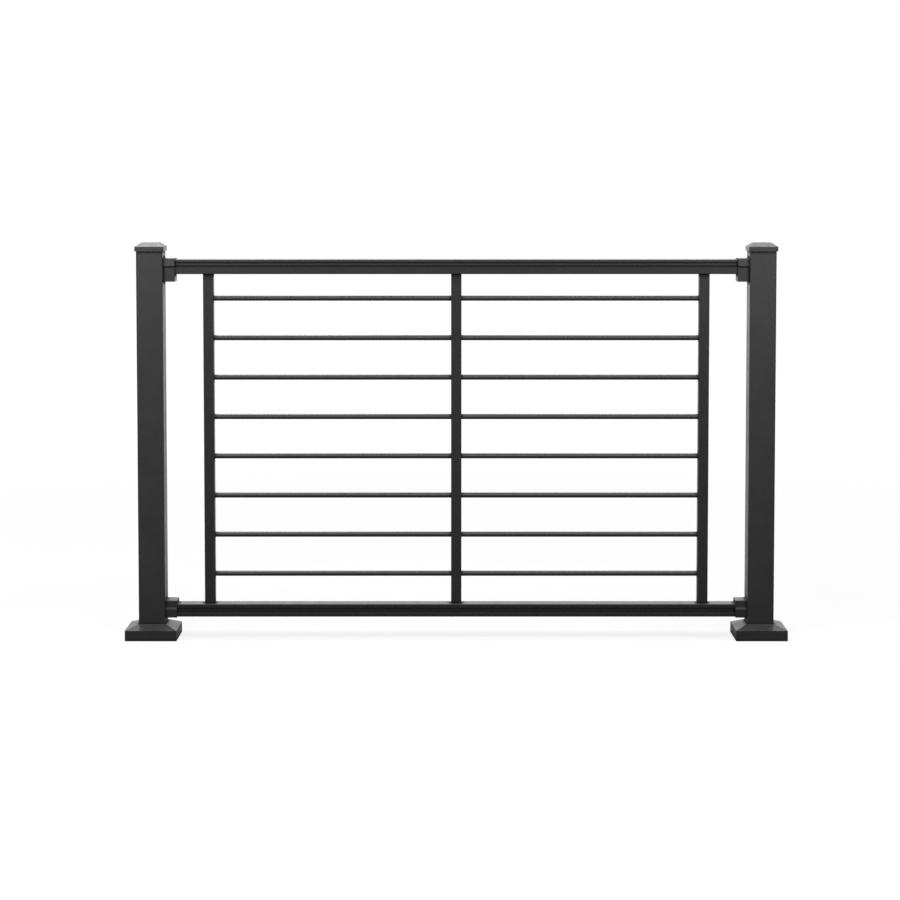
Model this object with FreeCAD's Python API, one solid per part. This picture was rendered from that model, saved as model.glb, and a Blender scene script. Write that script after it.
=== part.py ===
import FreeCAD, Part
import os

# Deck railing section: two posts on base plates, two moulded rails in end brackets,
# three uprights and eight level rods. Millimetres; X along the railing, -Y front, Z up.

post_spacing = 1467.0
guard_height = 914.4
bottom_gap = 51.7
end_gap = 94.25

post_size = 63.5
post_wall = 3.2
post_corner = 2.5
post_rise = 20.0

skirt_reach = 30.25
skirt_edge_height = 25.0
skirt_rise = 11.0
skirt_wall = 2.5
skirt_corner = 1.5
skirt_rim = 1.5

plate_margin = 9.5
plate_thickness = 9.5
plate_corner = 6.0
bolt_edge_distance = 12.5
bolt_hole = 11.0

cap_overhang = 3.25
cap_lip_height = 11.0
cap_slope_run = 14.5
cap_slope_rise = 9.6
cap_wall = 3.0
cap_overlap = 7.0
cap_corner = 1.5
hip_ledge = 0.5

rail_depth = 43.0
rail_wall = 2.2
rail_corner = 1.8
top_rail_height = 34.8
upper_groove_drop = 7.6
upper_groove_width = 2.6
upper_groove_depth = 2.0
lower_groove_drop = 16.0
lower_groove_width = 4.2
lower_groove_depth = 1.7
bottom_rail_height = 30.9
recess_margin = 8.8
recess_depth = 4.5
recess_lower_slope = 0.8
recess_upper_slope = 1.0

bracket_length = 28.0
bracket_back = 4.0
bracket_cheek = 2.25
bracket_edge = 1.2
mouth_chamfer = 0.6
collar_step = 2.5
collar_lean = 1.1
collar_bevel = 4.5
top_collar_height = 17.5
top_collar_cover = 2.6
top_tongue_reach = 18.2
bottom_collar_height = 20.7
bottom_collar_cover = 1.6
bottom_tongue_reach = 9.1

stile_size = 25.0
stile_wall = 1.6
stile_corner = 1.5

rod_diameter = 12.7
rod_count = 8
lowest_rod_rise = 71.7
highest_rod_drop = 58.55

slip_fit = 0.25

vector = FreeCAD.Vector
along_rail = vector(1, 0, 0)
up = vector(0, 0, 1)

post_inner_face = (post_spacing - post_size) / 2
rail_half_length = post_inner_face - bracket_back - slip_fit
stile_offset = post_inner_face - end_gap - stile_size / 2
top_rail_bottom = guard_height - top_rail_height
bottom_rail_top = bottom_gap + bottom_rail_height
lowest_rod = bottom_rail_top + lowest_rod_rise
rod_pitch = (top_rail_bottom - highest_rod_drop - lowest_rod) / (rod_count - 1)
lip_bottom = guard_height + post_rise
post_top = lip_bottom + cap_overlap


def square_block(size, bottom, top):
    """Upright square bar with sharp corners, centred on the Z axis."""
    return Part.makeBox(size, size, top - bottom, vector(-size / 2, -size / 2, bottom))


def rounded_block(size, corner, bottom, top):
    """Upright square bar with rounded corners."""
    block = square_block(size, bottom, top)
    uprights = [edge for edge in block.Edges if edge.BoundBox.ZLength > (top - bottom) / 2]
    return block.makeFillet(corner, uprights)


def hipped_block(lower_size, bottom, upper_size, top):
    """Square block whose four sides slope in to a smaller top."""
    low = lower_size / 2
    high = upper_size / 2
    block = Part.makeWedge(-low, 0, -low, -high, -high, low, top - bottom, low, high, high)
    block.rotate(vector(0, 0, 0), along_rail, 90)
    block.translate(up * bottom)
    return block


def square_tube(size, wall, corner, bottom, top):
    """Upright square tube with rounded corners, open at both ends."""
    outside = rounded_block(size, corner, bottom, top)
    return outside.cut(square_block(size - 2 * wall, bottom, top))


def make_plate():
    """Base plate with an anchor hole near each corner."""
    size = post_size + 2 * skirt_reach - 2 * plate_margin
    hole_offset = size / 2 - bolt_edge_distance
    plate = rounded_block(size, plate_corner, 0, plate_thickness)
    for x in (-hole_offset, hole_offset):
        for y in (-hole_offset, hole_offset):
            plate = plate.cut(Part.makeCylinder(bolt_hole / 2, plate_thickness, vector(x, y, 0)))
    return plate


def make_skirt():
    """Hipped cover that drops over the post and hides the base plate."""
    size = post_size + 2 * skirt_reach
    opening_size = post_size + 2 * slip_fit
    rim_size = opening_size + 2 * skirt_rim
    top = skirt_edge_height + skirt_rise
    band = rounded_block(size, skirt_corner, 0, skirt_edge_height)
    hips = hipped_block(size - 2 * hip_ledge, skirt_edge_height, rim_size, top)
    inner_size = size - 2 * skirt_wall
    inner_edge = skirt_edge_height - skirt_wall / 2
    hollow = square_block(inner_size, 0, inner_edge)
    roof = hipped_block(inner_size, inner_edge, rim_size, top - skirt_wall)
    return band.fuse(hips).cut(hollow).cut(roof).cut(square_block(opening_size, 0, top))


def make_cap():
    """Flat-topped hipped cap, hollow, with a lip that laps over the post."""
    size = post_size + 2 * cap_overhang
    plateau = size - 2 * cap_slope_run
    lip_top = lip_bottom + cap_lip_height
    top = lip_top + cap_slope_rise
    lip = rounded_block(size, cap_corner, lip_bottom, lip_top)
    hips = hipped_block(size - 2 * hip_ledge, lip_top, plateau, top)
    socket = square_block(post_size + 2 * slip_fit, lip_bottom, post_top)
    bore_size = post_size - 2 * post_wall
    bore = square_block(bore_size, post_top, lip_top)
    dome = hipped_block(bore_size, lip_top, plateau - 2 * cap_wall, top - cap_wall)
    return lip.fuse(hips).cut(socket).cut(bore).cut(dome)


def rail_blank(height, bottom):
    """Face of a rounded rectangle across the rail, which both rail sections are cut from."""
    block = Part.makeBox(1, rail_depth, height, vector(0, -rail_depth / 2, bottom))
    long_edges = [edge for edge in block.Edges if edge.BoundBox.XLength > 0.5]
    rounded = block.makeFillet(rail_corner, long_edges)
    return [face for face in rounded.Faces if face.BoundBox.XMax < 0.5][0]


def hollow_rail(section):
    """Rail between the brackets' back walls, with one wall thickness all round its section."""
    profile = section.cut(Part.Face(section.OuterWire.makeOffset2D(-rail_wall)))
    profile.translate(along_rail * -rail_half_length)
    return profile.extrude(along_rail * (2 * rail_half_length))


def side_cut(section, outline):
    """Rail section with an outline of (depth, height) points cut out of both its sides."""
    for side in (-1, 1):
        corners = [vector(0, side * (rail_depth / 2 - depth), height) for depth, height in outline]
        section = section.cut(Part.Face(Part.makePolygon(corners + corners[:1])))
    return section


def square_groove(drop, width, depth):
    """Outline of a square groove whose middle lies below the top of the rail."""
    low = guard_height - drop - width / 2
    high = guard_height - drop + width / 2
    return [(0, low), (depth, low), (depth, high), (0, high)]


def make_top_rail():
    """Box section with a narrow and a wide groove along each side."""
    section = rail_blank(top_rail_height, top_rail_bottom)
    section = side_cut(section, square_groove(upper_groove_drop, upper_groove_width, upper_groove_depth))
    section = side_cut(section, square_groove(lower_groove_drop, lower_groove_width, lower_groove_depth))
    return hollow_rail(section.Faces[0])


def make_bottom_rail():
    """Box section with a wide recessed band along each side."""
    section = rail_blank(bottom_rail_height, bottom_gap)
    low = bottom_gap + recess_margin
    high = bottom_rail_top - recess_margin
    band = [
        (0, low),
        (recess_depth, low + recess_lower_slope),
        (recess_depth, high - recess_upper_slope),
        (0, high),
    ]
    return hollow_rail(side_cut(section, band).Faces[0])


def make_bracket(rail_height, cover, collar_height, tongue_reach):
    """Sleeve for a rail end: collar on top ending at Z=0, back at X=0, mouth facing +X."""
    height = cover + rail_height + tongue_reach
    tongue = rail_depth / 2 + slip_fit + bracket_cheek
    collar = tongue + collar_step
    near_side = [
        vector(0, tongue, -height),
        vector(0, tongue, -collar_height - collar_bevel),
        vector(0, collar, -collar_height),
        vector(0, collar - collar_lean, 0),
    ]
    far_side = [vector(0, -point.y, point.z) for point in reversed(near_side)]
    outline = near_side + far_side
    body = Part.Face(Part.makePolygon(outline + outline[:1])).extrude(along_rail * bracket_length)
    long_edges = [edge for edge in body.Edges if edge.BoundBox.XLength > bracket_length / 2]
    top_edges = [edge for edge in long_edges if edge.BoundBox.ZMax > -bracket_edge]
    bottom_edges = [edge for edge in long_edges if edge.BoundBox.ZMin < bracket_edge - height]
    body = body.makeFillet(bracket_edge, top_edges + bottom_edges)
    mouth = [face for face in body.Faces if face.BoundBox.XMin > bracket_length - 0.01][0]
    body = body.makeChamfer(mouth_chamfer, mouth.Edges)
    pocket_depth = rail_depth + 2 * slip_fit
    corner = vector(bracket_back, -pocket_depth / 2, -cover - rail_height - slip_fit)
    return body.cut(Part.makeBox(bracket_length, pocket_depth, rail_height + 2 * slip_fit, corner))


def make_stile(x, drilled_sides):
    """Square upright tube between the rails, drilled for the rods through the given side walls."""
    stile = square_tube(stile_size, stile_wall, stile_corner, bottom_rail_top, top_rail_bottom)
    for side in drilled_sides:
        for number in range(rod_count):
            start = vector(0, 0, lowest_rod + number * rod_pitch)
            drill = Part.makeCylinder(rod_diameter / 2 + slip_fit, stile_size, start, along_rail * side)
            stile = stile.cut(drill)
    stile.translate(along_rail * x)
    return stile


def make_rod(number):
    """Level rod, counted from the lowest, ending inside the two end stiles."""
    reach = stile_offset + stile_size / 2 - stile_wall - slip_fit
    start = vector(-reach, 0, lowest_rod + number * rod_pitch)
    return Part.makeCylinder(rod_diameter / 2, 2 * reach, start, along_rail)


def moved(shape, x):
    """Copy of a shape shifted along the railing."""
    copy = shape.copy()
    copy.translate(along_rail * x)
    return copy


def turned(shape, axis):
    """Copy of a shape turned half round about an axis through the origin."""
    copy = shape.copy()
    copy.rotate(vector(0, 0, 0), axis, 180)
    return copy


nodes = {}

post_pieces = {
    "post": square_tube(post_size, post_wall, post_corner, plate_thickness, post_top),
    "base_plate": make_plate(),
    "post_skirt": make_skirt(),
    "post_cap": make_cap(),
}
for side, x in (("left", -post_spacing / 2), ("right", post_spacing / 2)):
    for piece, shape in post_pieces.items():
        nodes[side + "_" + piece] = moved(shape, x)

nodes["top_rail"] = make_top_rail()
nodes["bottom_rail"] = make_bottom_rail()

top_bracket = make_bracket(top_rail_height, top_collar_cover, top_collar_height, top_tongue_reach)
top_bracket.translate(vector(-post_inner_face, 0, guard_height + top_collar_cover))
nodes["top_left_bracket"] = top_bracket
nodes["top_right_bracket"] = turned(top_bracket, up)

bottom_bracket = turned(
    make_bracket(bottom_rail_height, bottom_collar_cover, bottom_collar_height, bottom_tongue_reach),
    along_rail,
)
bottom_bracket.translate(vector(-post_inner_face, 0, bottom_gap - bottom_collar_cover))
nodes["bottom_left_bracket"] = bottom_bracket
nodes["bottom_right_bracket"] = turned(bottom_bracket, up)

nodes["left_stile"] = make_stile(-stile_offset, [1])
nodes["centre_stile"] = make_stile(0, [-1, 1])
nodes["right_stile"] = make_stile(stile_offset, [-1])
for number in range(rod_count):
    nodes["rod_" + str(number + 1)] = make_rod(number)

os.makedirs("parts", exist_ok=True)
for name, shape in nodes.items():
    shape.exportStep("parts/" + name + ".step")
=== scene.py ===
import math

import bpy
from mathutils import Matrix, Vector


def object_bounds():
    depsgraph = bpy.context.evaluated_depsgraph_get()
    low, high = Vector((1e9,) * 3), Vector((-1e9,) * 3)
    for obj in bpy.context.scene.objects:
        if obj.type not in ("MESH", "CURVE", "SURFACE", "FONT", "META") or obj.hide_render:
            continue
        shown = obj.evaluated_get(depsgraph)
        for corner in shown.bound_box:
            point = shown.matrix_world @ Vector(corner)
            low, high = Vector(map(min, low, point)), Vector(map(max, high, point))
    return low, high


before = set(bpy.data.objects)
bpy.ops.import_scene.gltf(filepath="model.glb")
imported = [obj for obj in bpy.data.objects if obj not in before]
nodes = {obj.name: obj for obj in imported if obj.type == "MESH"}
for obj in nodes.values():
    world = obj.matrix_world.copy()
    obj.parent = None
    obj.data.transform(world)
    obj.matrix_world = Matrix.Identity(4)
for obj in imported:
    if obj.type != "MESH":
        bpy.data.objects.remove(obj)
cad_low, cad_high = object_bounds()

scene = bpy.context.scene

# Coats: base colour (linear), mean roughness, index of refraction and strength of the orange peel.
COATS = {
    "post_coat": ((0.0145, 0.0145, 0.0149), 0.31, 1.34, 0.35),
    "rail_coat": ((0.0082, 0.0082, 0.0084), 0.29, 1.33, 0.30),
    "bracket_coat": ((0.0138, 0.0138, 0.0142), 0.33, 1.33, 0.30),
    "rod_coat": ((0.0075, 0.0075, 0.0077), 0.22, 1.46, 0.05),
    "plate_coat": ((0.0145, 0.0145, 0.0149), 0.45, 1.34, 0.35),
}
# A node takes the coat of the first word here that its name contains.
COAT_OF_WORD = {
    "cap": "post_coat",
    "skirt": "post_coat",
    "post": "post_coat",
    "rail": "rail_coat",
    "stile": "rail_coat",
    "bracket": "bracket_coat",
    "rod": "rod_coat",
    "plate": "plate_coat",
}

# Rounded edges: their width in metres, by a word in the node's name.
EDGE_ROUND = {"bracket": 0.0005, "cap": 0.0006, "skirt": 0.0004, "plate": 0.0006}
# Points this close are joined, faces this flat are merged, and edges this sharp are rounded.
WELD_REACH = 0.00001
FLAT_ANGLE = math.radians(0.5)
ROUND_ANGLE = math.radians(25.0)
ROUND_SEGMENTS = 2

# Noises: scale, detail and roughness, and the middle of their range, which holds most of their values.
PEEL = (430.0, 2.0, 0.5)
GRAIN = (1500.0, 2.0, 0.6)
PATCHES = (7.0, 3.0, 0.55)
SCUFFS = (55.0, 4.0, 0.65)
GLOSS = (38.0, 4.0, 0.6)
NOISE_MIDDLE = (0.3, 0.7)

# Changes of tone and gloss, and depths of the bumps in metres.
PATCH_TONE = (0.86, 1.14)
GRAIN_TONE = (0.92, 1.08)
GLOSS_SPREAD = 0.05
PEEL_DEPTH = 0.00012
GRAIN_DEPTH = 0.00004
GRAIN_TO_PEEL = 0.7

# Samples for finding the crevices and edges near a point.
NEAR_SAMPLES = 6

# Crevices: from the first openness to the second, the coat goes from painted shade (a darker colour)
# and duller gloss to plain.
CREVICE_REACH = 0.010
SHADE_OPENNESS = (0.58, 0.95)
SHADE = (0.12, 1.0)
DULL_OPENNESS = (0.72, 0.95)
DULL = (0.60, 0.0)

# Wear: an edge is where the normal differs from the rounded one, and scuffs break up its paler line.
EDGE_REACH = 0.0009
EDGE_AGREEMENT = (0.80, 0.985)
EDGE_SHARE = (1.0, 0.0)
SCUFF_MIDDLE = (0.42, 0.68)
SCUFF_SHARE = (0.03, 0.14)
WORN_COLOUR = (0.075, 0.076, 0.080, 1.0)

# Dust and painted top light: paler the more a surface faces up, settled unevenly in the orange peel.
UPWARD = (0.0, 0.65)
DUST_AND_TOP_LIGHT_SHARE = (0.0, 0.45)
SETTLED_MIDDLE = (0.35, 0.65)
SETTLED_SHARE = (0.35, 1.0)
DUST_AND_TOP_LIGHT_COLOUR = (0.076, 0.076, 0.080, 1.0)

# Sockets of a colour Mix node, whose names its other kinds share.
MIX_A, MIX_B, MIX_RESULT = 6, 7, 2


def empty_tree(owner):
    owner.use_nodes = True
    owner.node_tree.nodes.clear()
    return owner.node_tree


def add_node(tree, kind, **settings):
    node = tree.nodes.new(kind)
    for key, value in settings.items():
        setattr(node, key, value)
    return node


def link(tree, source, output, target, socket):
    tree.links.new(source.outputs[output], target.inputs[socket])


def add_math(tree, operation, *operands):
    """Adds a Math node. An operand is a number, or a node and the name of its output."""
    node = add_node(tree, "ShaderNodeMath", operation=operation)
    for index, operand in enumerate(operands):
        if isinstance(operand, tuple):
            link(tree, *operand, node, index)
        else:
            node.inputs[index].default_value = operand
    return node


def noise(tree, place, pattern):
    node = add_node(tree, "ShaderNodeTexNoise")
    for socket, value in zip(("Scale", "Detail", "Roughness"), pattern):
        node.inputs[socket].default_value = value
    link(tree, place, "Object", node, "Vector")
    return node


def spread(tree, source, output, to_range, from_range=NOISE_MIDDLE):
    node = add_node(tree, "ShaderNodeMapRange")
    for end, value in zip(("From Min", "From Max", "To Min", "To Max"), (*from_range, *to_range)):
        node.inputs[end].default_value = value
    link(tree, source, output, node, "Value")
    return node


def tint(tree, under, share, colour):
    """Mixes a colour into the colour of the Mix node under it, by the share that a Math node gives."""
    node = add_node(tree, "ShaderNodeMix", data_type="RGBA", blend_type="MIX")
    link(tree, share, "Value", node, "Factor")
    link(tree, under, MIX_RESULT, node, MIX_A)
    node.inputs[MIX_B].default_value = colour
    return node


def bump(tree, height, strength, depth):
    node = add_node(tree, "ShaderNodeBump")
    node.inputs["Strength"].default_value = strength
    node.inputs["Distance"].default_value = depth
    link(tree, height, "Fac", node, "Height")
    return node


def powder_coat(name, colour, roughness, ior, peel_strength):
    """Satin powder coat: patches, orange peel, grain, duller crevices with painted shade, thin pale
    edges, and a paler dusting with painted top light on what faces up.
    """
    material = bpy.data.materials.new(name)
    tree = empty_tree(material)
    out = add_node(tree, "ShaderNodeOutputMaterial")
    shader = add_node(tree, "ShaderNodeBsdfPrincipled")
    shader.inputs["IOR"].default_value = ior
    shader.inputs["Metallic"].default_value = 0.0
    link(tree, shader, "BSDF", out, "Surface")
    place = add_node(tree, "ShaderNodeTexCoord")
    surface = add_node(tree, "ShaderNodeNewGeometry")
    peel = noise(tree, place, PEEL)
    grain = noise(tree, place, GRAIN)
    crevice = add_node(tree, "ShaderNodeAmbientOcclusion", samples=NEAR_SAMPLES)
    crevice.inputs["Distance"].default_value = CREVICE_REACH

    # Base colour with slow patches, fine speckle and painted shade in crevices.
    tone = spread(tree, noise(tree, place, PATCHES), "Fac", PATCH_TONE)
    speckle = spread(tree, grain, "Fac", GRAIN_TONE)
    # Painted shade: occlusion darkens the base colour in crevices and under overhangs.
    shade = spread(tree, crevice, "AO", SHADE, SHADE_OPENNESS)
    tone_speckle = add_math(tree, "MULTIPLY", (tone, "Result"), (speckle, "Result"))
    factor = add_math(tree, "MULTIPLY", (tone_speckle, "Value"), (shade, "Result"))
    base = add_node(tree, "ShaderNodeMix", data_type="RGBA", blend_type="MULTIPLY")
    base.inputs["Factor"].default_value = 1.0
    base.inputs[MIX_A].default_value = (*colour, 1.0)
    link(tree, factor, "Value", base, MIX_B)

    # Pale edges.
    rounded = add_node(tree, "ShaderNodeBevel", samples=NEAR_SAMPLES)
    rounded.inputs["Radius"].default_value = EDGE_REACH
    agreement = add_node(tree, "ShaderNodeVectorMath", operation="DOT_PRODUCT")
    link(tree, rounded, "Normal", agreement, 0)
    link(tree, surface, "Normal", agreement, 1)
    edge = spread(tree, agreement, "Value", EDGE_SHARE, EDGE_AGREEMENT)
    scuffed = spread(tree, noise(tree, place, SCUFFS), "Fac", SCUFF_SHARE, SCUFF_MIDDLE)
    wear = add_math(tree, "MULTIPLY", (edge, "Result"), (scuffed, "Result"))
    worn = tint(tree, base, wear, WORN_COLOUR)

    # Dust and painted top light on what faces up.
    facing = add_node(tree, "ShaderNodeSeparateXYZ")
    link(tree, surface, "Normal", facing, "Vector")
    upward = spread(tree, facing, "Z", DUST_AND_TOP_LIGHT_SHARE, UPWARD)
    settled = spread(tree, peel, "Fac", SETTLED_SHARE, SETTLED_MIDDLE)
    # Painted top light mixed with dust: faces pointing up get a paler colour.
    dust_and_top_light = add_math(tree, "MULTIPLY", (upward, "Result"), (settled, "Result"))
    dusty_and_top_lit = tint(tree, worn, dust_and_top_light, DUST_AND_TOP_LIGHT_COLOUR)
    link(tree, dusty_and_top_lit, MIX_RESULT, shader, "Base Color")

    # Uneven gloss, duller in crevices.
    gloss_range = (roughness - GLOSS_SPREAD, roughness + GLOSS_SPREAD)
    rough = spread(tree, noise(tree, place, GLOSS), "Fac", gloss_range)
    dull = spread(tree, crevice, "AO", DULL, DULL_OPENNESS)
    uneven = add_math(tree, "ADD", (rough, "Result"), (dull, "Result"))
    link(tree, uneven, "Value", shader, "Roughness")

    # Orange peel, with the grain on top of it.
    peel_bump = bump(tree, peel, peel_strength, PEEL_DEPTH)
    grain_bump = bump(tree, grain, GRAIN_TO_PEEL * peel_strength, GRAIN_DEPTH)
    link(tree, peel_bump, "Normal", grain_bump, "Normal")
    link(tree, grain_bump, "Normal", shader, "Normal")
    return material


def coat_of(node_name):
    for word, slot in COAT_OF_WORD.items():
        if word in node_name:
            return slot
    raise KeyError(node_name)


def soften(obj, width):
    """Rounds the edges by modifiers, after joining the mesh's points and flat faces."""
    weld = obj.modifiers.new("weld", "WELD")
    weld.merge_threshold = WELD_REACH
    flat = obj.modifiers.new("flat", "DECIMATE")
    flat.decimate_type = "DISSOLVE"
    flat.angle_limit = FLAT_ANGLE
    bevel = obj.modifiers.new("round", "BEVEL")
    bevel.width = width
    bevel.segments = ROUND_SEGMENTS
    bevel.limit_method = "ANGLE"
    bevel.angle_limit = ROUND_ANGLE
    normals = obj.modifiers.new("normals", "WEIGHTED_NORMAL")
    normals.keep_sharp = False


coats = {slot: powder_coat(slot, *look) for slot, look in COATS.items()}

for name, obj in nodes.items():
    slot = coat_of(name)
    obj.data.materials.clear()
    obj.data.materials.append(coats[slot])
    for word, width in EDGE_ROUND.items():
        if word in name:
            soften(obj, width)


# Stage: a pale floor and a white surround. Both are white to the camera. Reflections show the surround
# white too, and the floor darker close to the railing, a painted shade.
WHITE = (1.0, 1.0, 1.0, 1.0)
SURROUND_LIGHT = 0.08
SEEN_WHITE = 1.0
FLOOR_HALF = 60.0
FLOOR_HEIGHT = -0.0004
FLOOR_COLOUR = (0.19, 0.19, 0.19, 1.0)
FLOOR_FADE = (1.2, 4.5)
FLOOR_SEEN = (0.72, 1.0)
MIRROR_REACH = 1.0
RAILING_END = cad_high[0]


def mirrored_rays(tree, path):
    return add_math(tree, "MAXIMUM", (path, "Is Glossy Ray"), (path, "Is Transmission Ray"))


def background(tree, strength):
    node = add_node(tree, "ShaderNodeBackground")
    node.inputs["Color"].default_value = WHITE
    node.inputs["Strength"].default_value = strength
    return node


def white_surround():
    """A world that gives little light, and is white to the camera and in reflections."""
    world = bpy.data.worlds.new("surround")
    world.cycles.sampling_method = "NONE"
    tree = empty_tree(world)
    out = add_node(tree, "ShaderNodeOutputWorld")
    path = add_node(tree, "ShaderNodeLightPath")
    rays = mirrored_rays(tree, path)
    shown = add_math(tree, "MAXIMUM", (path, "Is Camera Ray"), (rays, "Value"))
    choose = add_node(tree, "ShaderNodeMixShader")
    link(tree, shown, "Value", choose, "Fac")
    link(tree, background(tree, SURROUND_LIGHT), "Background", choose, 1)
    link(tree, background(tree, SEEN_WHITE), "Background", choose, 2)
    link(tree, choose, "Shader", out, "Surface")
    return world


def seen_glow(tree, path, place):
    """To the camera, the floor's glow makes up what its lit colour lacks of white."""
    away = add_node(tree, "ShaderNodeVectorMath", operation="LENGTH")
    link(tree, place, "Object", away, "Vector")
    fade = spread(tree, away, "Value", FLOOR_SEEN, FLOOR_FADE)
    return add_math(tree, "MULTIPLY", (path, "Is Camera Ray"), (fade, "Result"))


def mirrored_glow_painted_shade(tree, path, place):
    """In reflections, the floor's glow grows with the distance from the railing's line or its ends: a
    painted shade on the floor close to the railing.
    """
    # Painted shade: the floor as seen in reflections is darker near the railing.
    axes = add_node(tree, "ShaderNodeSeparateXYZ")
    link(tree, place, "Object", axes, "Vector")
    sideways = add_math(tree, "ABSOLUTE", (axes, "Y"))
    along = add_math(tree, "ABSOLUTE", (axes, "X"))
    past_end = add_math(tree, "SUBTRACT", (along, "Value"), RAILING_END)
    gap = add_math(tree, "MAXIMUM", (sideways, "Value"), (past_end, "Value"))
    longer = add_math(tree, "ADD", (gap, "Value"), MIRROR_REACH)
    ratio = add_math(tree, "DIVIDE", (gap, "Value"), (longer, "Value"))
    squared = add_math(tree, "MULTIPLY", (ratio, "Value"), (ratio, "Value"))
    rays = mirrored_rays(tree, path)
    return add_math(tree, "MULTIPLY", (rays, "Value"), (squared, "Value"))


def floor_coat():
    """Matte, with a glow that only the camera and reflections see."""
    material = bpy.data.materials.new("floor")
    material.cycles.emission_sampling = "NONE"
    tree = empty_tree(material)
    out = add_node(tree, "ShaderNodeOutputMaterial")
    matte = add_node(tree, "ShaderNodeBsdfDiffuse")
    matte.inputs["Color"].default_value = FLOOR_COLOUR
    glow = add_node(tree, "ShaderNodeEmission")
    glow.inputs["Color"].default_value = WHITE
    path = add_node(tree, "ShaderNodeLightPath")
    place = add_node(tree, "ShaderNodeTexCoord")
    seen = seen_glow(tree, path, place)
    mirrored = mirrored_glow_painted_shade(tree, path, place)
    level = add_math(tree, "ADD", (seen, "Value"), (mirrored, "Value"))
    link(tree, level, "Value", glow, "Strength")
    total = add_node(tree, "ShaderNodeAddShader")
    link(tree, matte, "BSDF", total, 0)
    link(tree, glow, "Emission", total, 1)
    link(tree, total, "Shader", out, "Surface")
    return material


scene.world = white_surround()

floor_mesh = bpy.data.meshes.new("floor")
floor_mesh.from_pydata(
    [
        (-FLOOR_HALF, -FLOOR_HALF, 0.0),
        (FLOOR_HALF, -FLOOR_HALF, 0.0),
        (FLOOR_HALF, FLOOR_HALF, 0.0),
        (-FLOOR_HALF, FLOOR_HALF, 0.0),
    ],
    [],
    [(0, 1, 2, 3)],
)
floor = bpy.data.objects.new("floor", floor_mesh)
scene.collection.objects.link(floor)
floor.location.z = FLOOR_HEIGHT
floor_mesh.materials.append(floor_coat())

# Lamps: name, place, target, width, height and radiance.
LAMPS = [
    ("lamp_above", (0.0, -0.55, 1.75), (0.0, -0.05, 0.5), 2.6, 0.35, 10.0),
    ("lamp_front_top", (0.0, -1.43, 2.89), (0.0, 0.0, 0.6), 3.2, 2.0, 3.0),
    ("lamp_front_left", (-1.55, -3.85, 1.26), (0.0, 0.0, 0.6), 1.0, 0.9, 5.2),
    ("lamp_front_right", (1.55, -3.85, 1.26), (0.0, 0.0, 0.6), 1.0, 0.9, 4.8),
    ("lamp_back_left", (-0.85, 0.95, 2.95), (-0.35, 0.0, 0.6), 1.2, 0.8, 11.4),
    ("lamp_back_right", (0.85, 0.95, 2.95), (0.35, 0.0, 0.6), 1.2, 0.8, 6.4),
    ("lamp_side_left", (-3.3, -0.2, 1.9), (0.0, 0.0, 0.5), 1.6, 1.2, 2.6),
    ("lamp_side_right", (3.3, -0.2, 1.9), (0.0, 0.0, 0.5), 1.6, 1.2, 2.6),
    ("lamp_back", (0.0, 1.9, 3.1), (0.0, 0.0, 0.5), 2.6, 1.0, 3.0),
    ("lamp_back_low", (0.0, 4.5, 1.4), (0.0, 0.0, 0.5), 2.8, 1.5, 0.17),
    ("lamp_front_card", (0.0, -4.0, 2.0), (0.0, 0.0, 0.5), 2.8, 1.1, 3.6),
]
# These two light the object and stay out of its reflections.
UNMIRRORED = ("lamp_above", "lamp_front_top")


def softbox(name, place, target, width, height, radiance):
    lamp = bpy.data.lights.new(name, "AREA")
    lamp.shape = "RECTANGLE"
    lamp.size = width
    lamp.size_y = height
    lamp.energy = radiance * math.pi * width * height
    obj = bpy.data.objects.new(name, lamp)
    obj.location = place
    aim = Vector(target) - Vector(place)
    obj.rotation_mode = "QUATERNION"
    obj.rotation_quaternion = aim.to_track_quat("-Z", "Y")
    obj.visible_camera = False
    obj.visible_glossy = name not in UNMIRRORED
    scene.collection.objects.link(obj)


for lamp_settings in LAMPS:
    softbox(*lamp_settings)

# Camera, fitted to edges measured in the photograph: lengths in metres, lens and sensor in millimetres.
CAMERA_PLACE = (-0.0151, -5.700, 1.120)
CAMERA_TILT = math.radians(3.626)
LENS = 94.998
SENSOR_WIDTH = 36.0
SHIFT_Y = -0.14
CLIP_START = 0.05
CLIP_END = 200.0

camera_data = bpy.data.cameras.new("camera")
camera_data.sensor_width = SENSOR_WIDTH
camera_data.lens = LENS
camera_data.shift_y = SHIFT_Y
camera_data.clip_start = CLIP_START
camera_data.clip_end = CLIP_END
camera = bpy.data.objects.new("camera", camera_data)
camera.location = CAMERA_PLACE
camera.rotation_euler = (math.radians(90.0) - CAMERA_TILT, 0.0, 0.0)
scene.collection.objects.link(camera)
scene.camera = camera
scene.view_settings.view_transform = "Standard"
